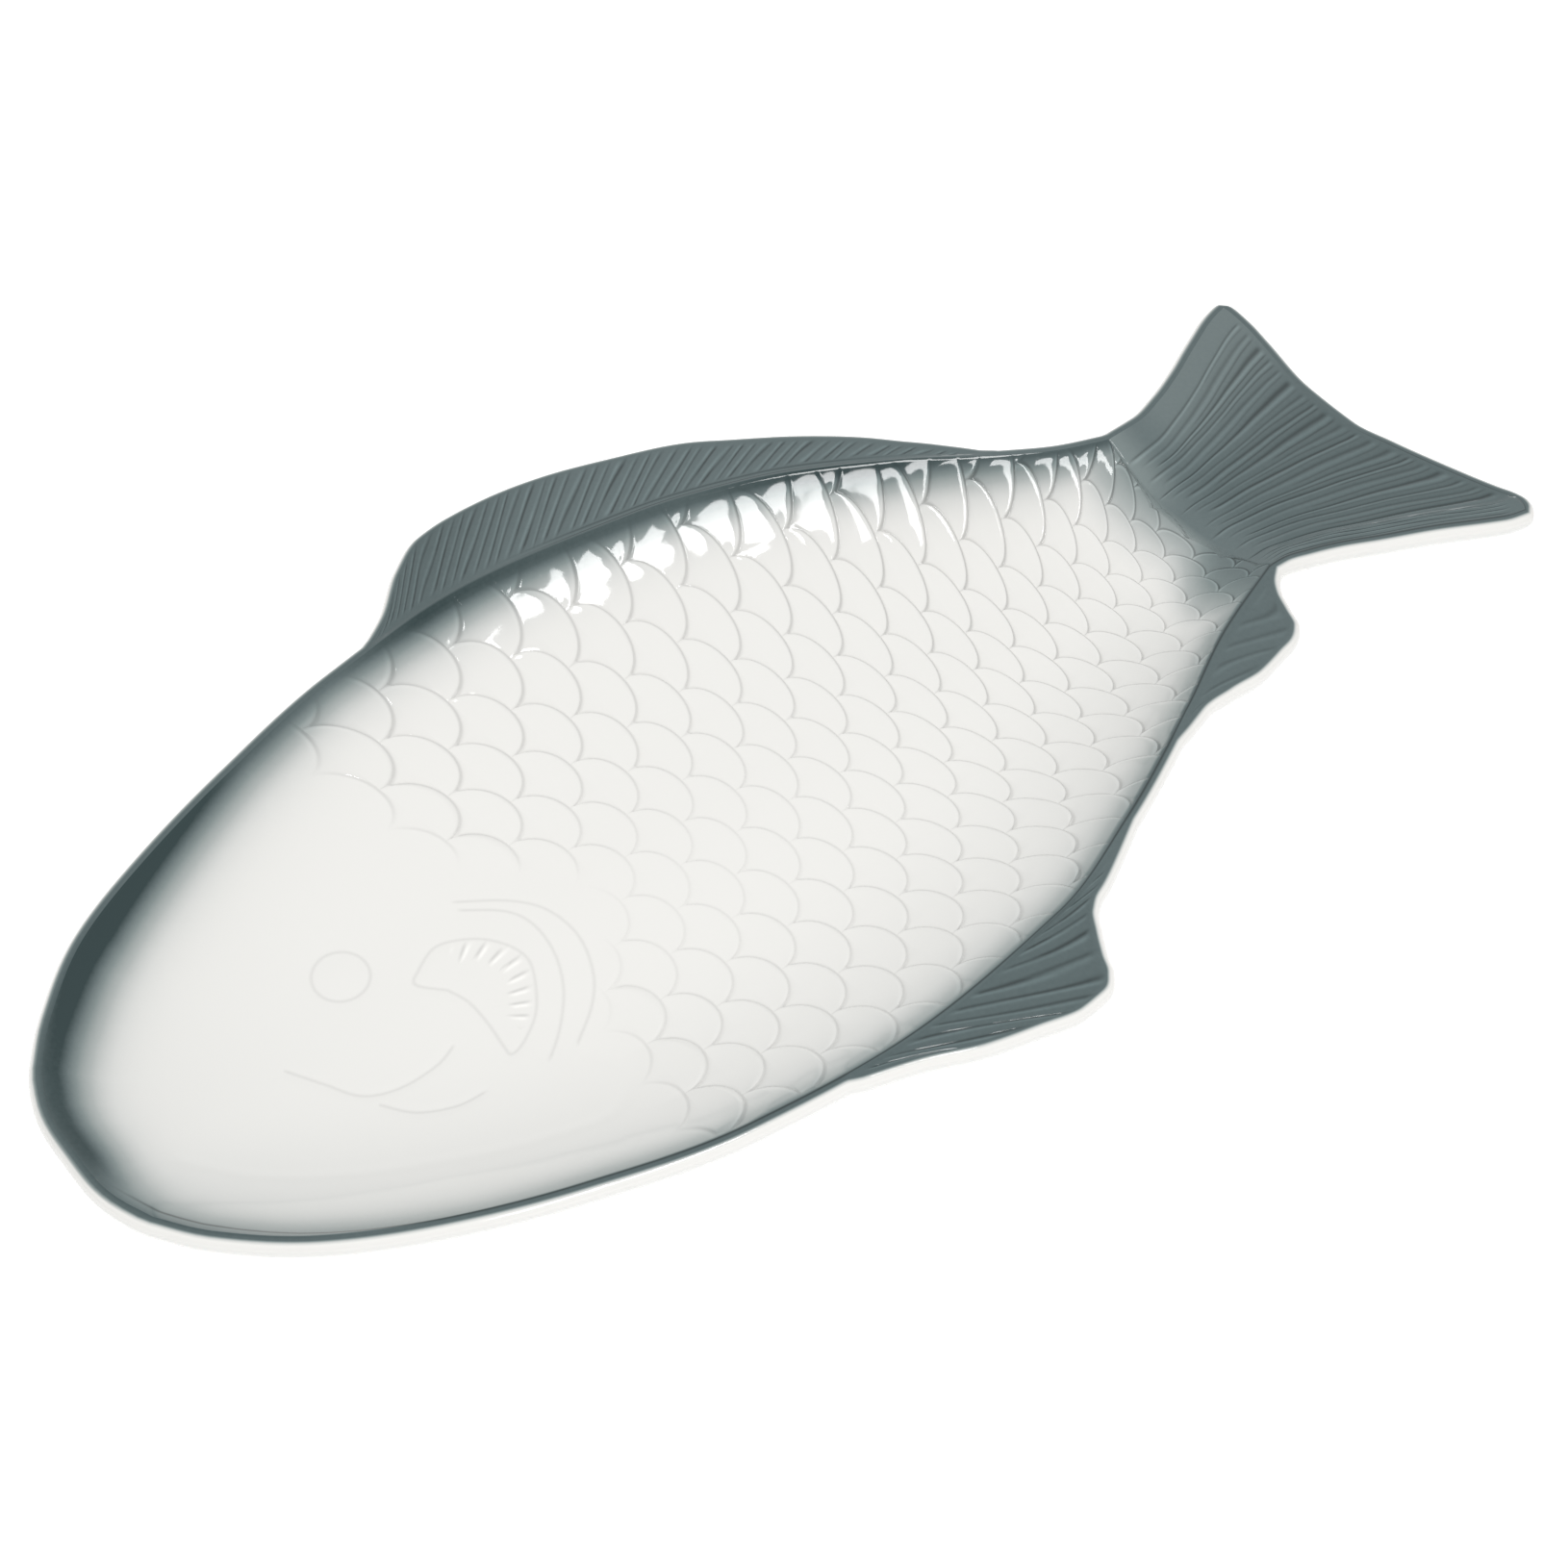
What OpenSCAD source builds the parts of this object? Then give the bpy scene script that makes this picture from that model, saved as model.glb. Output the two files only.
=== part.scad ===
// Fish shaped serving platter, pressed in one piece of stoneware and glazed.
// The fish lies on its side with its nose at -X, its tail at +X and its back towards +Y.

/* [Outline] */
// Length of the body, from the nose to the root of the tail
body_l = 331; // [280:1:380]
// Width between the crests of the rim, where the body is widest
body_w = 177; // [140:1:210]
// Length of the tail, from its root to its lower tip
tail_l = 72.5; // [50:0.5:90]
// Spread of the tail between its two tips
tail_w = 107.5; // [85:0.5:130]
// Height of the back fin over the rim
back_fin_h = 23; // [12:1:32]
// Height of the breast fin over the rim
breast_fin_h = 18.5; // [10:0.5:26]
// Height of the small fin in front of the tail
rear_fin_h = 11.4; // [7:0.1:16]

/* [Dish] */
// Depth of the dish under the rim
dish_depth = 21; // [14:0.5:28]
// Width of the sloping wall, from the crest of the rim to the flat floor
dish_wall = 80; // [60:1:88]
// Thickness of the floor and of the walls
wall_t = 5; // [4:0.5:7]
// Radius of the rounded lip
lip_r = 2.5; // [1.8:0.1:2.8]
// Flat land between the crest of the rim and the lip
land_w = 1; // [0.6:0.1:2]
// Height of the foot under the floor
foot_h = 3; // [2:0.5:5]
// Width of the foot
foot_w = 5; // [3:0.5:8]
// How far the two ends of the foot bow out
foot_bow = 26; // [10:1:34]

/* [Relief] */
// Distance between the first two rows of scales, along the fish
scale_pitch = 9.45; // [9:0.05:9.8]
// Width of the widest scales, across the fish
scale_w = 22.4; // [20:0.1:25]
// Height of the step at the free edge of a scale
scale_step = 0.55; // [0.3:0.05:0.9]
// Width of that step in plan
step_w = 0.5; // [0.3:0.05:0.6]
// Depth of the groove between two fin rays
ray_depth = 0.6; // [0.3:0.05:0.9]
// Rays in the back fin
back_rays = 48; // [30:1:50]
// Rays in the breast fin
breast_rays = 9; // [6:1:12]
// Rays in the small fin in front of the tail
rear_rays = 6; // [4:1:8]
// Grooves between the rays of the tail
tail_grooves = 27; // [21:2:27]

/* [Hidden] */

glaze = [0.93, 0.93, 0.90];

// Heights of the rim and of the inner floor over the table
rim_h = foot_h + wall_t + dish_depth;
nose_x = lip_r + land_w;

// Half width of the crest of the rim, as shares of half the body's width. The first number of
// each pair is the square root of the share of the body's length, so that the nose comes out round.
back_shares = [[0, 0.2], [0.1, 0.25], [0.2, 0.393], [0.3, 0.56], [0.4, 0.69], [0.5, 0.819], [0.6,
    0.94], [0.7, 0.995], [0.8, 0.93], [0.86, 0.828], [0.92, 0.623], [0.96, 0.43], [0.98, 0.344],
    [1, 0.285]];
belly_shares = [[0, 0.2], [0.1, 0.25], [0.2, 0.398], [0.3, 0.563], [0.4, 0.711], [0.5, 0.846],
    [0.6, 0.96], [0.7, 1.006], [0.8, 0.951], [0.86, 0.825], [0.92, 0.645], [0.96, 0.505], [1,
    0.4]];

// Edges of the tail: share of the tail's length, and share of its spread
tail_top_shares = [[0, 0], [0.2, 0.01], [0.4, 0.17], [0.634, 0.483], [0.875, 0.892], [0.955, 0.974],
    [1, 1]];
tail_low_shares = [[0, 0], [0.07, 0.005], [0.19, 0.085], [0.31, 0.192], [0.465, 0.368], [0.686,
    0.607], [0.909, 0.887], [0.97, 0.965], [1, 1]];
// Hollow rear edge of the tail: place across it, from the lower tip at -1 to the upper one at 1
tail_end_shares = [[-1, 0.93], [-0.97, 0.97], [-0.93, 0.995], [-0.89, 1], [-0.8, 0.985], [-0.54,
    0.92], [-0.23, 0.866], [0, 0.828], [0.32, 0.853], [0.7, 0.9], [0.85, 0.91], [0.93, 0.88],
    [0.975, 0.842], [1, 0.8]];
tail_top_tip_share = 0.413;
tail_low_tip_share = 0.587;

// Fins: share of the body's length where a ray starts on the crest of the rim, how far it leans
// towards the tail as a share of the fin's height, and how far it reaches out, likewise
back_fin_shares = [[0.398, 0, 0], [0.419, 0.26, 0.32], [0.438, 0.43, 0.68], [0.459, 0.61, 0.94],
    [0.477, 0.74, 0.98], [0.508, 0.83, 0.97], [0.556, 0.87, 0.91], [0.619, 0.87, 0.75],
    [0.668, 0.83, 0.61], [0.71, 0.74, 0.45], [0.755, 0.61, 0.33], [0.81, 0.48, 0.18],
    [0.846, 0.35, 0.07], [0.882, 0.2, 0.01], [0.918, 0, 0]];
breast_fin_shares = [[0.438, 0, 0], [0.459, 0.58, 0.28], [0.477, 0.95, 0.58],
    [0.498, 1.26, 0.78], [0.52, 1.42, 0.93], [0.538, 1.42, 0.93], [0.556, 1.29, 0.79],
    [0.574, 1.1, 0.59], [0.595, 0.95, 0.32], [0.619, 0.76, 0.1], [0.653, 0.47, 0],
    [0.695, 0.2, 0], [0.74, 0, 0]];
rear_fin_shares = [[0.816, 0, 0], [0.84, 0.4, 0], [0.861, 0.72, 0.25], [0.882, 0.96, 0.6],
    [0.906, 1.04, 0.8], [0.924, 1.0, 0.92], [0.94, 0.84, 0.88], [0.955, 0.6, 0.6],
    [0.97, 0.38, 0.26], [0.985, 0.2, 0.07], [1, 0.05, 0]];

// Place of the scales: where their first row lies, how much closer each row lies to the one
// before, the row number in the middle of the fish, the last row and the bulge of the free edges
first_row_share = 0.381;
row_squeeze_share = 0.0097;
mid_row = 7.5;
last_row = 27;
bulge_share = 0.9;
// Rows across the fish, by their place along the body: distance between two rows as a share of
// half a scale's width, middle line and bow of the outermost rows as shares of the body's width
row_shares = [[0.3, 0.88, 0.005, 0], [0.36, 0.884, 0.0034, 0], [0.453, 0.92, 0.0011, 0.001],
    [0.604, 0.973, -0.0023, 0.025], [0.755, 1, -0.0395, 0.054], [0.861, 0.929, -0.04, 0.062],
    [0.937, 0.732, -0.0367, 0.056], [1, 0.58, -0.028, 0.045]];
row_fan_back_share = 0.17;
row_fan_belly_share = 0.106;
outer_row = 8;

// Sampling of the surfaces
across_n = 2 * tail_grooves;
head_shares = [0, 0.01, 0.022, 0.037, 0.056, 0.08, 0.108, 0.14, 0.175, 0.212, 0.25, 0.288, 0.325];
tail_steps_share = [0.06, 0.17, 0.28, 0.39, 0.5, 0.61, 0.72, 0.83, 0.91, 0.96];
lip_angles = [60, 120, 180];

// A smooth curve through the points of a table, with no overshoot between them
function span(t, tab, i = 0) = (i > len(tab) - 3 || t < tab[i + 1][0]) ? i : span(t, tab, i + 1);
function rise(tab, i, c) = (tab[i + 1][c] - tab[i][c]) / (tab[i + 1][0] - tab[i][0]);
function mean_rise(a, b) = a * b > 0 ? 2 * a * b / (a + b) : 0;
function slope(tab, i, c) = i == 0 ? rise(tab, 0, c)
    : i == len(tab) - 1 ? rise(tab, i - 1, c) : mean_rise(rise(tab, i - 1, c), rise(tab, i, c));
function curve(t, tab, c = 1) =
    let (i = span(t, tab), w = tab[i + 1][0] - tab[i][0],
         s = min(1, max(0, (t - tab[i][0]) / w)))
    tab[i][c] * (1 + 2 * s) * (1 - s) * (1 - s) + slope(tab, i, c) * w * s * (1 - s) * (1 - s)
    + tab[i + 1][c] * s * s * (3 - 2 * s) - slope(tab, i + 1, c) * w * s * s * (1 - s);
function ease(t) = let (s = min(1, max(0, t))) s * s * (3 - 2 * s);
function mix(a, b, t) = a + (b - a) * t;

// Crest of the rim over the body: half widths towards the back and towards the belly
function along(x) = sqrt(min(1, max(0, (x - nose_x) / (body_l - nose_x))));
function crest(x, side) = body_w / 2 * curve(along(x), side > 0 ? back_shares : belly_shares);

// Edges of the tail, with t from its root to its tips
tail_in = lip_r + land_w;
function tail_x(t, v) = body_l + t * ((tail_l - tail_in) * curve(v, tail_end_shares));
function tail_root(side) = side > 0 ? crest(body_l, 1) : -crest(body_l, -1);
function tail_tip(side) = side > 0 ? tail_w * tail_top_tip_share : -tail_w * tail_low_tip_share;
function tail_y(t, side) = mix(tail_root(side), tail_tip(side),
    curve(t, side > 0 ? tail_top_shares : tail_low_shares));

// Profile of the dish's wall, from 0 at the crest to 1 on the floor, and the depth of the dish
function wall_profile(t) = 1 - pow(1 - min(1, max(0, t)), 2.6);
tail_rise_start_share = 0.815;
tail_rise_share = 0.86;
tail_rise_end_share = 1.087;
function depth_along(x) = wall_profile((x - nose_x) / dish_wall)
    * (1 - tail_rise_share * ease((x - body_l * tail_rise_start_share)
        / (body_l * (tail_rise_end_share - tail_rise_start_share))));
function dish(x, v, half) =
    rim_h - dish_depth * depth_along(x) * wall_profile((1 - abs(v)) * half / min(dish_wall, half));

// The scales. A row number p counts along the fish and a number q across it. The free edge of
// each scale is half an ellipse between two points with p and q both even or both odd.
function row_x(p, q) = body_l * first_row_share
    + scale_pitch * (p * (1 - row_squeeze_share * p)
        + (q < outer_row ? row_fan_back_share : row_fan_belly_share)
            * pow((q - outer_row) / (outer_row - 1), 2) * (p - outer_row - 1));
function pitch_y(x) = scale_w / 2 * curve(x / body_l, row_shares, 1);
function middle_y(x) = body_w * curve(x / body_l, row_shares, 2);
function row_bow(x) = body_w * curve(x / body_l, row_shares, 3) / (mid_row * mid_row);
function row_y(x, q) = middle_y(x) - pitch_y(x) * (q - mid_row) + row_bow(x) * pow(q - mid_row, 2);
function row_of(x, y) = let (d = middle_y(x) - y, f = pitch_y(x))
    mid_row + 2 * d / (f + sqrt(max(f * f / 5, f * f - 4 * row_bow(x) * d)));
function edge_bulge(k, q) = let (f = (q - k) / 2, g = 2 * (f - floor(f)) - 1) sqrt(1 - g * g);
function edge_row(k, q, foot) = k + bulge_share * edge_bulge(k, q) + foot * step_w / scale_pitch;
function snap(q, d) = abs(q - round(q)) < d * 0.46 ? round(q) : q;
// The place along the fish where the line v across it meets the free edge of row k
function settle(k, foot, v, x, turns) = turns == 0 ? x
    : let (q = row_of(x, v * crest(x, v)))
      settle(k, foot, v, mix(x, row_x(edge_row(k, q, foot), q), 2 / 3), turns - 1);
// Scales fade out behind the gills, along the belly and at the root of the tail
gill_row = 7.4;
gill_share = 2.4;
function scales_here(p, q, v) = ease(p + 0.9 - gill_share * exp(-pow((q - gill_row) / 2.1, 2)))
    * ease((1 - abs(v)) * (v > 0 ? 40 : 12)) * ease((last_row + 2.2 - p) * 0.8);

// A point of the dish on a line across the head; the nose is bowed a little
nose_bow = body_l * 0.0151;
function bowed(x0, v) = x0 + nose_bow * pow(abs(v), 4.5) * ease(1 - x0 / dish_wall);
function plain_point(x0, v) = let (x = bowed(x0, v), half = crest(x, v))
    [x, v * half, dish(x, v, half)];

// A point on the free edge of row k: foot is 0 on the edge's top and 1 at the foot of its step
function scale_point(k, foot, v) =
    let (x0 = settle(k, foot, v, row_x(k + 0.5, mid_row), 7), cell = 2 / across_n * crest(x0, v),
         free = row_of(x0, v * crest(x0, v)),
         q = snap(free, cell / (pitch_y(x0) - 2 * row_bow(x0) * (free - mid_row))),
         p = edge_row(k, q, foot),
         x = row_x(p, q), half = crest(x, v), w = ease((abs(v) - 0.75) * 4),
         y = mix(row_y(x, q), v * half, w),
         up = scale_step * (p - k - foot) * scales_here(p, q, v))
    [x, y, dish(x, y / half, half) + up];

// A point of the tail; every other line across it is a groove between two rays
function tail_point(t, v, n) =
    let (x = tail_x(t, v), y = mix(tail_y(t, -1), tail_y(t, 1), (v + 1) / 2),
         half = (tail_y(t, 1) - tail_y(t, -1)) / 2,
         cut = (n % 2 == 1 && n > 1 && n < across_n - 1) ? ray_depth * ease((1 - t) * 12) : 0)
    [x, y, dish(x, v, half) - cut];

// All lines across the fish, from the nose to the rear edge of the tail
lines = concat(
    [for (s = head_shares) [0, mix(nose_x, body_l, s), 0]],
    [for (k = [0 : last_row], foot = [0, 1]) [1, k, foot]],
    [for (t = concat(tail_steps_share, [1])) [2, t, 0]]);
function v_at(n) = 2 * n / across_n - 1;
function grid_point(a, n) = a[0] == 0 ? plain_point(a[1], v_at(n))
    : a[0] == 1 ? scale_point(a[1], a[2], v_at(n)) : tail_point(a[1], v_at(n), n);
lines_n = len(lines);
grid = [for (a = lines) for (n = [0 : across_n]) grid_point(a, n)];
function at(i, n) = i * (across_n + 1) + n;

// The crest loop runs round the grid: belly side, rear edge, back side, nose. Its places are
// numbers from 0 to 4, one for each side, so that loops with other steps can be joined to it.
crest_loop = concat(
    [for (i = [0 : lines_n - 2]) at(i, 0)],
    [for (n = [0 : across_n - 1]) at(lines_n - 1, n)],
    [for (i = [lines_n - 1 : -1 : 1]) at(i, across_n)],
    [for (n = [across_n : -1 : 1]) at(0, n)]);
function side_place(x, side) = (x - nose_x) / (tail_x(1, side) - nose_x);
crest_places = concat(
    [for (i = [0 : lines_n - 2]) i == 0 ? 0 : side_place(grid[at(i, 0)][0], -1)],
    [for (n = [0 : across_n - 1]) 1 + n / across_n],
    [for (i = [lines_n - 1 : -1 : 1])
        i == lines_n - 1 ? 2 : 3 - side_place(grid[at(i, across_n)][0], 1)],
    [for (n = [across_n : -1 : 1]) 4 - n / across_n], [4]);

// Where the rays of a fin start on the crest: a ridge and a groove by turns
function ray_starts(shares, count) = let (a = shares[0][0], b = shares[len(shares) - 1][0])
    [for (i = [0 : 2 * count]) [body_l * mix(a, b, i / (2 * count)), i % 2]];
plain_top = [for (s = [0, 0.008, 0.02, 0.036, 0.056, 0.08, 0.106, 0.134, 0.165, 0.198, 0.232, 0.268,
        0.304, 0.34])
    [body_l * s + nose_x + nose_bow, 0]];
plain_low = concat(plain_top, [[body_l * 0.38, 0], [body_l * 0.41, 0]]);
between_low = [for (s = [0.755, 0.775, 0.795]) [body_l * s, 0]];
behind_top = [for (s = [0.945, 0.97, 0.992]) [body_l * s, 0]];
tail_starts = [for (t = concat(tail_steps_share, [1])) [t, 2]];
low_starts = concat(plain_low, ray_starts(breast_fin_shares, breast_rays), between_low,
    ray_starts(rear_fin_shares, rear_rays), tail_starts);
top_starts = concat(plain_top, ray_starts(back_fin_shares, back_rays), behind_top, tail_starts);

// How far a ray that starts at x leans and reaches, on the back or on the belly side
function reach(x, side, c) = let (s = x / body_l)
    side > 0 ? back_fin_h * fin_share(s, back_fin_shares, c)
    : breast_fin_h * fin_share(s, breast_fin_shares, c)
      + rear_fin_h * fin_share(s, rear_fin_shares, c);
function fin_share(s, tab, c) = s <= tab[0][0] || s >= tab[len(tab) - 1][0] ? 0 : curve(s, tab, c);

// A point of a side's border at share w of the way from the crest to the edge of the flat top
function side_point(start, side, w) =
    start[1] == 2
    ? let (x = tail_x(start[0], side), back = 0.01,
           dy = tail_y(start[0], side) - tail_y(max(0, start[0] - back), side),
           dx = tail_l * back, d = norm([dx, dy]))
      [x - side * w * land_w * dy / d, tail_y(start[0], side) + side * w * land_w * dx / d, rim_h]
    : let (x = start[0], y = side * crest(x, side), e = tail_l * 0.01,
           dy = side * (crest(x + e, side) - crest(x, side)), d = norm([e, dy]),
           out = land_w * w, lean = reach(x, side, 1) * w, far = reach(x, side, 2) * w)
      [x - side * out * dy / d + lean, y + side * (out * e / d + far),
       rim_h - bead_h * ease(far / bead_h) - start[1] * ray_depth * ease(far / bead_h)
           * ease((1 - w) * 6)];
bead_h = lip_r / 3;

nose_vs = [for (n = [across_n - 1 : -3 : 2]) v_at(n)];
end_vs = [for (n = [1 : 2 : across_n - 1]) v_at(n)];
function end_point(v, w) = let (y = mix(tail_y(1, -1), tail_y(1, 1), (v + 1) / 2))
    [tail_x(1, v) + w * land_w, y, dish(tail_x(1, v), v, tail_w / 2)];
function nose_point(v, w) = let (p = plain_point(nose_x, v))
    [p[0] - w * land_w, p[1] * (1 + w * land_w / crest(nose_x, v) * v * v), rim_h];

function border(w) = concat(
    [for (s = low_starts) side_point(s, -1, w)],
    [for (v = end_vs) end_point(v, w)],
    [for (i = [len(top_starts) - 1 : -1 : 0]) side_point(top_starts[i], 1, w)],
    [for (v = nose_vs) nose_point(v, w)]);
function start_place(s, side) = side_place(s[1] == 2 ? tail_x(s[0], side) : s[0], side);
border_places = concat(
    [for (s = low_starts) start_place(s, -1)],
    [for (v = end_vs) 1 + (v + 1) / 2],
    [for (i = [len(top_starts) - 1 : -1 : 0]) 3 - start_place(top_starts[i], 1)],
    [for (v = nose_vs) 4 - (v + 1) / 2], [4]);
ring_n = len(border_places) - 1;

band_shares = [0.25, 0.84, 1];
edge_line = border(1);
function outward(i) = let (a = edge_line[(i + ring_n - 1) % ring_n], b = edge_line[(i + 1) % ring_n],
    d = [b[1] - a[1], a[0] - b[0]]) d / norm(d);
function lip_ring(a) = [for (i = [0 : ring_n - 1]) let (o = outward(i), e = edge_line[i])
    [e[0] + o[0] * lip_r * sin(a), e[1] + o[1] * lip_r * sin(a), e[2] - lip_r * (1 - cos(a))]];

// Underside: a coarser net of lines with the foot in it
foot_front_share = 0.17;
foot_back_share = 0.78;
foot_side_share = 0.42;
foot_slope = foot_h / 3;
foot_a = body_l * foot_front_share;
foot_b = body_l * foot_back_share;
under_lines = concat([for (s = [0.02, 0.055, 0.105]) [body_l * s, 0]],
    [[foot_a - foot_slope, 0], [foot_a, 1], [foot_a + foot_w, 1], [foot_a + foot_w + foot_slope, 0]],
    [for (s = [0.3, 0.42, 0.54, 0.66]) [body_l * s, 0]],
    [[foot_b - foot_w - foot_slope, 0], [foot_b - foot_w, 1], [foot_b, 1], [foot_b + foot_slope, 0]],
    [for (s = [0.85, 0.91, 0.97]) [body_l * s, 0]],
    [for (t = [0.12, 0.4, 0.66, 0.88]) [t, 2]]);
side_v = foot_side_share;
foot_dv = foot_w * 2 / body_w;
slope_dv = foot_slope * 2 / body_w;
under_vs = [-0.96, -0.8, -0.62, -side_v - slope_dv, -side_v, -side_v + foot_dv,
    -side_v + foot_dv + slope_dv, -0.2, 0.2, side_v - foot_dv - slope_dv, side_v - foot_dv,
    side_v, side_v + slope_dv, 0.62, 0.8, 0.96];
foot_lines = [4, 5, 12, 13];
foot_columns = [4, 5, 10, 11];
function has(list, i) = len([for (j = list) if (j == i) j]) > 0;
function in_foot(i, j) = (has(foot_lines, i) && j >= 4 && j <= 11)
    || (has(foot_columns, j) && i >= 4 && i <= 13);
bow_shares = [[0, 0], [foot_front_share, 1], [foot_back_share, -1], [1, 0]];
function under_point(i, j) = let (a = under_lines[i], v = under_vs[j])
    a[1] == 2
    ? let (p = tail_point(a[0], v, 0)) [p[0], p[1], p[2] - wall_t]
    : let (bow = foot_bow * curve(a[0] / body_l, bow_shares) * min(1, pow(v / side_v, 2)),
           x = a[0] + bow, half = crest(x, v))
      [x, v * half, in_foot(i, j) ? 0 : dish(x, v, half) - wall_t];
under_n = len(under_lines);
under_m = len(under_vs);
under = [for (i = [0 : under_n - 1]) for (j = [0 : under_m - 1]) under_point(i, j)];
function under_at(i, j) = i * under_m + j;
under_loop = concat([for (i = [0 : under_n - 2]) under_at(i, 0)],
    [for (j = [0 : under_m - 2]) under_at(under_n - 1, j)],
    [for (i = [under_n - 1 : -1 : 1]) under_at(i, under_m - 1)],
    [for (j = [under_m - 1 : -1 : 1]) under_at(0, j)]);
under_places = concat(
    [for (i = [0 : under_n - 2]) i == 0 ? 0 : side_place(under[under_at(i, 0)][0], -1)],
    [for (j = [0 : under_m - 2]) 1 + (under_vs[j] - under_vs[0]) / (-2 * under_vs[0])],
    [for (i = [under_n - 1 : -1 : 1])
        i == under_n - 1 ? 2 : 3 - side_place(under[under_at(i, under_m - 1)][0], 1)],
    [for (j = [under_m - 1 : -1 : 1]) 4 - (under_vs[j] - under_vs[0]) / (-2 * under_vs[0])], [4]);

// Faces. A zip joins two loops with different steps, a band joins two with the same.
function zip(a, pa, b, pb) = [
    for (i = 0, j = 0; i < len(a) || j < len(b);
         step = (j >= len(b) || (i < len(a) && pa[i + 1] <= pb[j + 1])) ? 1 : 0,
         i = i + step, j = j + 1 - step)
        let (s = (j >= len(b) || (i < len(a) && pa[i + 1] <= pb[j + 1])) ? 1 : 0,
             u = a[i % len(a)], w = b[j % len(b)])
            s == 1 ? [u, a[(i + 1) % len(a)], w] : [u, b[(j + 1) % len(b)], w]];
function band(first, second) = [for (i = [0 : ring_n - 1]) let (j = (i + 1) % ring_n)
    each [[first + i, first + j, second + i], [first + j, second + j, second + i]]];
function count(n) = [for (i = [0 : n - 1]) i];

rings = concat([for (w = band_shares) border(w)], [for (a = lip_angles) lip_ring(a)]);
ring_base = len(grid);
rings_n = len(rings);
under_base = ring_base + rings_n * ring_n;
function ring_ids(r) = [for (i = count(ring_n)) ring_base + r * ring_n + i];
function shifted(list, by) = [for (i = list) i + by];

top_faces = [for (i = [0 : lines_n - 2]) for (n = [0 : across_n - 1])
    each [[at(i, n), at(i, n + 1), at(i + 1, n)], [at(i + 1, n), at(i, n + 1), at(i + 1, n + 1)]]];
under_faces = [for (i = [0 : under_n - 2]) for (j = [0 : under_m - 2])
    each [[under_at(i, j), under_at(i + 1, j), under_at(i, j + 1)],
          [under_at(i + 1, j), under_at(i + 1, j + 1), under_at(i, j + 1)]]];
points = concat(grid, [for (r = rings) each r], under);
faces = concat(top_faces,
    zip(crest_loop, crest_places, ring_ids(0), border_places),
    [for (r = [0 : rings_n - 2]) each band(ring_base + r * ring_n, ring_base + (r + 1) * ring_n)],
    [for (f = zip(shifted(under_loop, under_base), under_places, ring_ids(rings_n - 1),
        border_places)) [f[0], f[2], f[1]]],
    [for (f = under_faces) shifted(f, under_base)]);

xs = [for (p = points) p[0]];
ys = [for (p = points) p[1]];
centre = [(min(xs) + max(xs)) / 2, (min(ys) + max(ys)) / 2, 0];

module platter() {
    color(glaze) translate(-centre) polyhedron(points = points, faces = faces);
}

platter();
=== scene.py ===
import math
import bpy
import numpy as np
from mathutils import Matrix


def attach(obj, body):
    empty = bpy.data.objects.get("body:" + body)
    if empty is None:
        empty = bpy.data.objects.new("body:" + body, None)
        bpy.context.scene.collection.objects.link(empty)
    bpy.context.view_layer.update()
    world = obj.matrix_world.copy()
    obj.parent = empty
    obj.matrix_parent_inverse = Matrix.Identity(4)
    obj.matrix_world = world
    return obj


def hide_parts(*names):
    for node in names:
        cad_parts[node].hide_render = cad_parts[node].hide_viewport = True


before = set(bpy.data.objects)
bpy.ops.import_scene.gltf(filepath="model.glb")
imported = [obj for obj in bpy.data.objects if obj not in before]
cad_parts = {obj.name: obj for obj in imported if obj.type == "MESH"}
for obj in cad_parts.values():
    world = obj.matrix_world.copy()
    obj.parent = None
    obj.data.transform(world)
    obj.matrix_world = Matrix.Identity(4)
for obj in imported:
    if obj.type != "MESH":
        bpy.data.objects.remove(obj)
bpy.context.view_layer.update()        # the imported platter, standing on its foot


# ---- Outline of the fish ----
# The crest of the rim over the body, the two fins below, the fin on the back and the tail.
# Lengths are in millimetres from the nose, as in the part's source. BACK and BELLY hold shares of
# the half width over the square root of the share of the body. TAIL_TOP and TAIL_LOW hold the way
# out to the tips over the tail's length, TAIL_END the length over the place across, and a fin's
# table the place, the lean and the reach.
BODY, WIDTH, TAIL, SPREAD = 331.0, 177.0, 72.0, 107.5
RIM, WALL = 29.0, 5.0               # height of the crest, thickness of the clay
LIP, LAND, NOSE = 2.15, 1.15, 3.5   # radius of the lip, flat of the rim, the crest's first point
LOWER = 1.6                         # the lip's lower half is taller than its radius by this
TIP_TOP, TIP_LOW = .415, -.583      # the tail's tips, in shares of its spread
BACK = ((0, 0.2), (0.1, 0.25), (0.2, 0.393), (0.3, 0.56), (0.4, 0.69), (0.5, 0.813), (0.6, 0.929),
        (0.7, 0.992), (0.8, 0.93), (0.86, 0.828), (0.92, 0.623), (0.96, 0.43), (0.98, 0.344),
        (1, 0.285))
BELLY = ((0, 0.2), (0.1, 0.25), (0.2, 0.398), (0.3, 0.563), (0.4, 0.711), (0.5, 0.846),
         (0.6, 0.96), (0.7, 1.006), (0.8, 0.951), (0.86, 0.825), (0.92, 0.645), (0.96, 0.505),
         (1, 0.4))
TAIL_TOP = ((0, 0), (.176, .01), (.353, .155), (.542, .394), (.67, .59), (.769, .735),
            (.878, .89), (.921, .938), (.968, .98), (1, 1))
TAIL_LOW = ((0, 0), (.067, .005), (.181, .085), (.296, .192), (.444, .368), (.654, .607),
            (.867, .887), (.925, .955), (1, 1))
TAIL_END = ((-1, .975), (-.97, .992), (-.93, 1), (-.89, .998), (-.8, .98), (-.54, .932),
            (-.23, .873), (0, .833), (.32, .841), (.7, .896), (.85, .913), (.93, .915),
            (.975, .913), (1, .907))
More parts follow.
